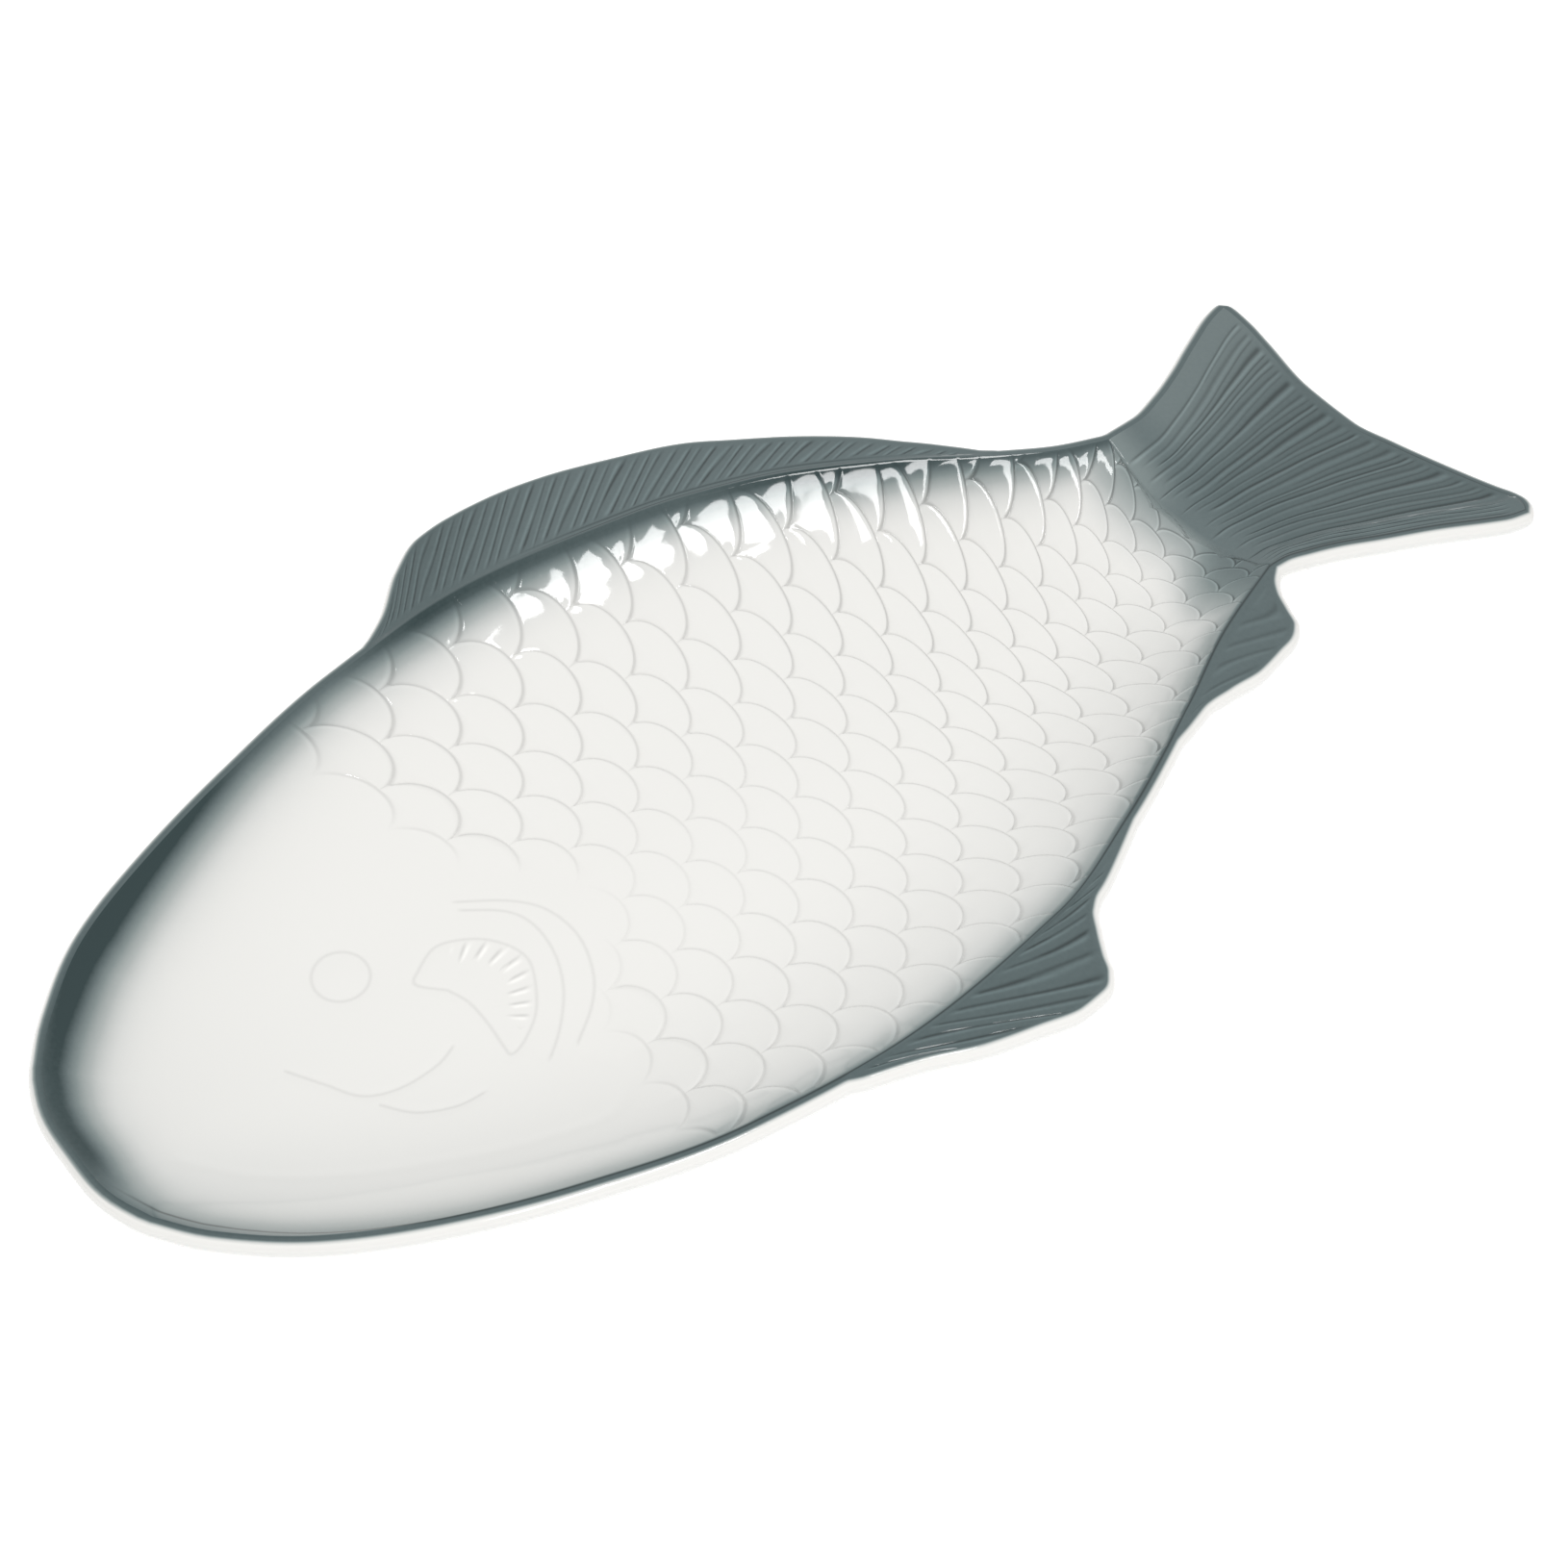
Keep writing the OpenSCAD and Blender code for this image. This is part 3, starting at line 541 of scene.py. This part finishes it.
# ---- One closed skin ----
# The net of the dish, the loops of the rim and the net of the underside share their seams, so the
# platter is one closed skin, as the pressed clay is.
def loop_of(grid, offset):
    """Indices round a net and their places: 0 to 1 along one side, and so on to 4."""
    n, m = grid.shape[:2]
    index = offset + np.arange(n * m).reshape(n, m)
    ids = np.concatenate([index[:-1, 0], index[-1, :-1], index[:0:-1, -1], index[0, :0:-1]])
    lo = np.clip((grid[:, 0, 0] - NOSE) / (grid[-1, 0, 0] - NOSE), 0, 1)
    hi = np.clip((grid[:, -1, 0] - NOSE) / (grid[-1, -1, 0] - NOSE), 0, 1)
    cross = (grid[-1, :, 1] - grid[-1, 0, 1]) / (grid[-1, -1, 1] - grid[-1, 0, 1])
    nose = (grid[0, :, 1] - grid[0, 0, 1]) / (grid[0, -1, 1] - grid[0, 0, 1])
    places = np.concatenate([lo[:-1], 1 + cross[:-1], 3 - hi[:0:-1], 4 - nose[:0:-1], [4]])
    places[0] = 0
    return ids, np.maximum.accumulate(places)


def zipped(a, pa, b, pb):
    """Triangles between two loops with different steps, by turns on the loop that lags."""
    faces, i, j = [], 0, 0
    while i < len(a) or j < len(b):
        first = j >= len(b) or (i < len(a) and pa[i + 1] <= pb[j + 1])
        u, w = a[i % len(a)], b[j % len(b)]
        faces.append((u, w, a[(i + 1) % len(a)] if first else b[(j + 1) % len(b)]))
        i, j = i + first, j + (not first)
    return faces


crest_ids, crest_places = loop_of(net, 0)
count = len(rim)
base = rows * columns
low_p = np.concatenate([low_x, tail_x(edge_t, -1)])
top_p = np.concatenate([top_x, tail_x(edge_t, 1)])
ring_places = np.concatenate([
    np.clip((low_p - NOSE) / (low_p[-1] - NOSE), 0, 1), 1 + (end_v + 1) / 2,
    3 - np.clip((top_p[::-1] - NOSE) / (top_p[-1] - NOSE), 0, 1), 4 - (nose_v + 1) / 2, [4]])
under_base = base + count * len(rings)
under_ids, under_places = loop_of(under, under_base)
first_ring = base + np.arange(count)
last_ring = base + (len(rings) - 1) * count + np.arange(count)


def quads(n, m, offset):
    """The four-sided faces of a net of n by m points that starts at point number offset."""
    index = offset + np.arange(n * m).reshape(n, m)
    return np.stack([index[:-1, :-1], index[1:, :-1], index[1:, 1:], index[:-1, 1:]], 2)


i = np.arange(count)
faces = quads(rows, columns, 0).reshape(-1, 4).tolist()
faces += zipped(crest_ids, crest_places, first_ring, ring_places)
for r in range(len(rings) - 1):
    a, b = base + r * count, base + (r + 1) * count
    j = (i + 1) % count
    faces += np.stack([a + i, b + i, b + j, a + j], 1).tolist()
faces += [(a, c, b) for a, b, c in zipped(under_ids, under_places, last_ring, ring_places)]
faces += quads(*under.shape[:2], under_base)[..., ::-1].reshape(-1, 4).tolist()
points = np.concatenate([net.reshape(-1, 3)] + rings + [under.reshape(-1, 3)])
middle = (points.min(0) + points.max(0)) / 2
points[:, :2] -= middle[:2]
mesh = bpy.data.meshes.new("platter")
mesh.from_pydata((points / 1000).tolist(), [], faces)
mesh.polygons.foreach_set("use_smooth", np.ones(len(mesh.polygons), bool))
platter = bpy.data.objects.new("platter_body", mesh)
bpy.context.scene.collection.objects.link(platter)


# ---- Airbrushed colour with painted light and shade, as numbers on the skin ----
# The ink is the strength of the sprayed grey green, and also carries painted shade on the lip's
# lower half and on the rim's flat top at the nose, and painted light just inside the crest there;
# crest is the place from the crest with its creases drawn as painted shade, ray the phase and
# strength of the rays, stroke_0 to stroke_5 the lines of the face, and scale holds p, q and the
# strength.
# depth_in is the distance in millimetres from the crest; far is the back's side, near the belly's
body_net = net[:body_lines]
round_nose = np.roll(ring(0)[0][:, :2], 90, 0)[:200]
depth_in = np.minimum((1 - np.abs(vv)) * half * .97,
                      to_line(body_net[..., 0], body_net[..., 1], round_nose[::3]))
bx, by = body_net[..., 0], body_net[..., 1]
back_side = ease((by + 20) / 20)
# On the back's side full ink for a width of solid, of a strength that changes along the fish,
# then a soft fall; the head has a weaker veil further in
solid = np.interp(bx, [0, 12, 25, 40, 65, 90, 120, 150, 270, 300],
                  [3, 3, 3.1, 3, 1.3, .2, .2, 1.6, 1.6, .5])
strong = np.interp(bx, [0, 12, 40, 65, 90, 120, 150, 190, 230, 270, 300],
                   [.88, .91, 1.06, 1.03, .87, .85, 1, .93, .9, 1.02, .9])
far_ink_and_shading = strong * np.exp(-(np.maximum(depth_in - solid, 0) / 5.35) ** 1.25)
far_ink_and_shading += .04 * np.exp(-depth_in / 13) * ease((130 - bx) / 50)
# Painted light: just inside the crest at the nose the ink is made lighter, to soften the shade
# where the wall turns down behind the crest
far_ink_and_shading -= .07 * np.exp(-depth_in / .9) * ease((45 - bx) / 25)
# On the belly's side a narrow dark line at the crest with a soft fall inside it
dark_to = np.interp(bx, [100, 125], [-.2, .7])
soft = np.interp(bx, [12, 40, 65, 110, 300], [.68, .62, .46, .48, .54])
near_ink = np.maximum(.82 * (1 - ease((depth_in - dark_to) / .9)),
                      soft * np.exp(-(depth_in / 5.8) ** 1.15) + .05 * ease(1 - depth_in / 60))
ink_and_shading = near_ink + (far_ink_and_shading - near_ink) * back_side + .05 * np.exp(-(bx / 70) ** 2)
# The last scales darken into the tail, earlier on the belly's side; the tail's upper half starts
# lighter and is lighter at its end
ROOT_INK = .76
upward = ease(1.5 * vv)
rootward = ease((bx - 309 - 2 * upward + 12 * ease((-vv - .25) / .5)) / (31 - 8 * upward))
ink_and_shading = np.maximum(ink_and_shading, (ROOT_INK - .14 * upward) * rootward)
tail_ink = ROOT_INK + .07 * ease(tail_t * 4) - .12 * ease((tv - .1) / .9) * ease(tail_t * 3)
tail_ink += .015 - .05 * ease((8 - low_gap) / 4) * ease(tail_t * 5)
tail_ink -= .15 * ease(1.5 * tv) * (1 - ease(tail_t * 6))
net_ink_and_shading = np.concatenate([ink_and_shading, tail_ink])
# The glaze is wiped from the lip, further up on the near side: chin, belly and the tail's edge.
# The lip's lower half gets a light grey of painted shade, which fades out on the underside.
rim_x = rim[:, 0]
wiped = ease((-rim[:, 1] - 4) / 20) * ease((404 - rim_x) / 6)
onto, over = 1.4 - .5 * wiped, 1.4 - .4 * wiped
ring_ink_and_shading = [.83 * ease((e + onto) / over) + .12 * ease((-e - 2) / 2.5) * ease((8.5 + e) / 1.5)
            for e in ring_edge]
tone = np.where(rim[:, 1] > 0, .025 - .06 * ease((rim_x - 165) / 45),
                .035 * ease((235 - rim_x) / 20)) * ease((BODY - rim_x) / 15)
# Painted shade: on the rim's flat top at the nose the ink grows darker towards the crest, so that
# the lit top meets the shaded wall inside without a step
ring_ink_and_shading = [k * (1 + tone) + .06 * ease((45 - rim_x) / 25) * ease(e / LAND)
            for k, e in zip(ring_ink_and_shading, ring_edge)]
# crest holds the distance to the crest, positive inside, and the strengths of two creases drawn
# as lines of painted shade; on the chin the first of them runs a little inside the crest
belly_side = ease((-vv - .3) / .4)
chin = 2.2 * ease((60 - bx) / 45) * belly_side
net_crest = np.concatenate([
    np.stack([depth_in - chin, belly_side * ease((bx - 4) / 8), 0 * bx], 2),
    np.stack([low_gap, ease((far_end - 2) / 6), 0 * low_gap], 2)])
chin = 2.2 * ease((60 - rim_x) / 45) * wiped
ring_crest = []
for r, e, f in zip(rings, ring_edge, ring_fins):
    under_fin = (r[:, 1] > 0) * ease((r[:, 0] - 170) / 40) * ease((290 - r[:, 0]) / 25)
    ring_crest.append(np.stack([e - LAND - np.where(f == TAIL_MARK, 0, f) - chin,
                                wiped * ease((rim_x - 4) / 8), under_fin], 1))
n_under = under.shape[0] * under.shape[1]


def attribute(name, kind, values):
    """Stores one number or one vector for each point of the skin."""
    data = mesh.attributes.new(name, kind, "POINT").data
    data.foreach_set("value" if kind == "FLOAT" else "vector", np.ravel(values).astype(np.float32))


attribute("ink_and_shading", "FLOAT", np.concatenate([net_ink_and_shading.ravel()] + ring_ink_and_shading + [np.zeros(n_under)]))
attribute("crest", "FLOAT_VECTOR", np.concatenate(
    [net_crest.reshape(-1, 3)] + ring_crest + [np.full((n_under, 3), -20.0)]))
attribute("ray", "FLOAT_VECTOR", np.concatenate(
    [net_ray.reshape(-1, 3)] + ring_groove + [np.zeros((n_under, 3))]))
for i, pair in enumerate(strokes):
    rest = np.zeros((len(points) - pair[..., 0].size, 3))
    attribute("stroke_%d" % i, "FLOAT_VECTOR", np.concatenate([pair.reshape(-1, 3), rest]))
far = np.tile([NO_SCALE, 0, 0], (count * len(rings) + n_under, 1))
attribute("scale", "FLOAT_VECTOR", np.concatenate([net_pq.reshape(-1, 3), far]))


# ---- Glaze ----
# Off-white stoneware glaze with a sprayed grey green under it. Each scale's edge is drawn by a
# thin line of pooled glaze at its foot with painted shade below it, and by a lighter top, partly
# thinner glaze and partly painted highlight.
INK_TONES = ((0, (.84, .83, .80)), (.15, (.69, .695, .675)), (.35, (.43, .46, .45)),
             (.6, (.225, .268, .265)), (.8, (.12, .155, .158)), (1, (.03, .052, .054)))
SCALE_HALF = 9      # half a scale's width in millimetres


class Value:
    """A socket in a material; +, -, *, / and ** on it make Math nodes."""

    def __init__(self, tree, socket):
        self.tree, self.socket = tree, socket

    def node(self, kind, *inputs, out=0, **settings):
        """Any other node: its settings by name and its inputs in order."""
        made = self.tree.nodes.new(kind)
        for name, value in settings.items():
            setattr(made, name, value)
        for slot, value in enumerate(inputs):
            if isinstance(value, Value):
                self.tree.links.new(value.socket, made.inputs[slot])
            elif value is not None:
                made.inputs[slot].default_value = value
        return Value(self.tree, made.outputs[out])

    def math(self, what, *inputs):
        """A Math node by the name of its operation."""
        return self.node("ShaderNodeMath", *inputs, operation=what)

    def __add__(self, b): return self.math("ADD", self, b)
    def __radd__(self, b): return self.math("ADD", b, self)
    def __sub__(self, b): return self.math("SUBTRACT", self, b)
    def __rsub__(self, b): return self.math("SUBTRACT", b, self)
    def __mul__(self, b): return self.math("MULTIPLY", self, b)
    def __rmul__(self, b): return self.math("MULTIPLY", b, self)
    def __truediv__(self, b): return self.math("DIVIDE", self, b)
    def __rtruediv__(self, b): return self.math("DIVIDE", b, self)
    def __pow__(self, b): return self.math("POWER", self, b)


glaze = bpy.data.materials.new("glaze")
glaze.use_nodes = True
tree = glaze.node_tree
shader = tree.nodes["Principled BSDF"]
start = Value(tree, None)
ink_and_shading = start.node("ShaderNodeAttribute", attribute_name="ink_and_shading", out=2)


def three(name):
    """The three numbers of a vector on the skin."""
    whole = start.node("ShaderNodeAttribute", attribute_name=name, out=1)
    first = start.node("ShaderNodeSeparateXYZ", whole)
    return [Value(tree, socket) for socket in first.socket.node.outputs]


p, q, strength = three("scale")
place = start.node("ShaderNodeTexCoord", out=3)

# Distance in millimetres from the free edge of the scale, positive on the side it steps down to
row = start.math("FLOOR", p)
side = start.math("FLOORED_MODULO", q - row, 2.0) - 1
edge = (start.math("SQRT", ((p - row) / REACH) ** 2 + side * side) - 1) * SCALE_HALF
line = start.math("EXPONENT", -1 * (start.math("ABSOLUTE", edge - .35) / .42) ** 2)
# Painted shade: a soft darkening behind each edge, on the side it steps down to
shade = start.math("EXPONENT", -1 * start.math("MAXIMUM", edge, 0.0) / 1.3)
shade = shade * start.math("GREATER_THAN", edge, 0.0)
# Darkening at the foot of each edge: the thin line of pooled glaze and the painted shade below
# it; lightening at its top: partly thinner glaze, partly painted highlight
edge_pool_and_shade = strength * (.15 * line + .05 * shade) * (1 + 1.2 * ink_and_shading)
thin_glaze_and_highlight = strength * ink_and_shading * start.math("EXPONENT", -1 * ((edge + .55) / .5) ** 2)
# The lines of the face, and the creases along the crest drawn as lines of painted shade
pressed = 0
for i in range(len(strokes)):
    off, on, _ = three("stroke_%d" % i)
    pressed = pressed + start.math("EXPONENT", -1 * (off / .42) ** 2) * on * .1
inward, low_line, fin_line = three("crest")


def shade_line(at, wide):
    """A line of painted shade at a distance in millimetres from the crest."""
    return start.math("EXPONENT", -1 * ((inward - at) / wide) ** 2)


# Painted shade along the creases: at the crest on the belly's side and at the tail's lower edge,
# and two lines just outside the crest over the back's fin
crease_shade = shade_line(0, .35) * low_line * .6
crease_shade = crease_shade + (shade_line(-1.7, .3) * .55 + shade_line(-3.5, .4) * .4) * fin_line
dark = start.math("MINIMUM", edge_pool_and_shade + pressed + crease_shade, 1.0)
# The rays: their grooves darken, partly pooled glaze and partly painted shade, and a ridge on
# one side of each groove gets a painted highlight
phase, deep, finer = three("ray")


def bell(at, wide):
    """exp(-(d / wide)**2), with d the distance of the phase, moved by at, from its middle."""
    d = start.math("FLOORED_MODULO", phase + at, 1.0) - .5
    return start.math("EXPONENT", -1 * (d / wide) ** 2)


pool_and_shade = bell(0, .115) * deep + bell(.5, .075) * finer * .7
ridge_highlight = bell(.25, .13)

# The ink is a little speckled, and its strength picks the colour
speck = start.node("ShaderNodeTexNoise", place, None, 900.0, 2.0)
sprayed = ink_and_shading + (speck - .5) * .05 * ink_and_shading
ramp = start.node("ShaderNodeValToRGB", sprayed)
stops = ramp.socket.node.color_ramp
stops.interpolation = "LINEAR"
for at, shown in INK_TONES:
    ends = {0: stops.elements[0], 1: stops.elements[-1]}
    stop = ends[at] if at in ends else stops.elements.new(at)
    stop.position, stop.color = at, (*shown, 1)
tinted = start.node("ShaderNodeVectorMath", ramp, None, None, dark * -1 + 1, operation="SCALE")
lighter = (pool_and_shade * -.55 + 1) * (ridge_highlight * deep * .42 + 1) * (thin_glaze_and_highlight * .35 + 1)
colour = start.node("ShaderNodeVectorMath", tinted, None, None, lighter, operation="SCALE")
tree.links.new(colour.socket, shader.inputs["Base Color"])
# Fine relief: the glaze ripples slightly and dips in every line
ripple = start.node("ShaderNodeTexNoise", place, None, 45.0, 2.0)
height = ripple * .00009 + edge_pool_and_shade * -.0004 + pressed * -.0007 + pool_and_shade * -.0001
bump = start.node("ShaderNodeBump", 1.0, 1.0)
tree.links.new(height.socket, bump.socket.node.inputs["Height"])
tree.links.new(bump.socket, shader.inputs["Normal"])
shader.inputs["Roughness"].default_value = .05
shader.inputs["IOR"].default_value = 1.5
mesh.materials.append(glaze)
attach(platter, "root")
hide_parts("platter")


# ---- Table and light ----
# A pale seamless table, a narrow soft box in front of the dish, a wide one above it that the
# glaze doesn't mirror, and weak light from all sides.
bpy.ops.mesh.primitive_plane_add(size=12)
floor = bpy.context.object
floor.name = "table"
paper = bpy.data.materials.new("paper")
paper.use_nodes = True
for name, value in (("Base Color", (.93, .93, .93, 1)), ("Roughness", 1),
                    ("Specular IOR Level", 0), ("Emission Color", (1, 1, 1, 1)),
                    ("Emission Strength", .45)):
    paper.node_tree.nodes["Principled BSDF"].inputs[name].default_value = value
floor.data.materials.append(paper)

world = bpy.data.worlds.new("room")
bpy.context.scene.world = world
world.use_nodes = True
world.node_tree.nodes["Background"].inputs["Color"].default_value = (.98, .99, 1, 1)
world.node_tree.nodes["Background"].inputs["Strength"].default_value = .45


def lamp(name, at, turn, size, watts):
    """A soft box that faces down, with its long side turned about the vertical."""
    data = bpy.data.lights.new(name, "AREA")
    data.shape, data.size, data.size_y = "RECTANGLE", *size
    data.energy = watts
    obj = bpy.data.objects.new(name, data)
    obj.location, obj.rotation_euler = at, (0, 0, turn)
    bpy.context.scene.collection.objects.link(obj)
    return obj


lamp("strip_box", (-.143, -.52, .9), .896, (.85, .11), 3.8)
lamp("top_box", (-.2, .1, 1.5), 0, (1.2, 1.2), 10).visible_glossy = False


# ---- Camera ----
# It looks down at the dish from in front of the belly with a long lens, as in the photograph.
LOOK_X, LOOK_Y = 187.29, -14.54         # the place on the crest's plane in the frame's middle
STAND = np.array([-.2598, -.3242, .4951])
camera = bpy.data.objects.new("camera", bpy.data.cameras.new("camera"))
camera.data.sensor_width, camera.data.lens = 36, 61.84
target = np.array([LOOK_X - middle[0], LOOK_Y - middle[1], RIM]) / 1000
eye = target + STAND
camera.location = eye
to = target - eye
camera.rotation_euler = (math.atan2(math.hypot(to[0], to[1]), -to[2]), 0,
                         math.atan2(to[1], to[0]) - math.pi / 2)
bpy.context.scene.collection.objects.link(camera)
bpy.context.scene.camera = camera
bpy.context.scene.view_settings.view_transform = "Standard"
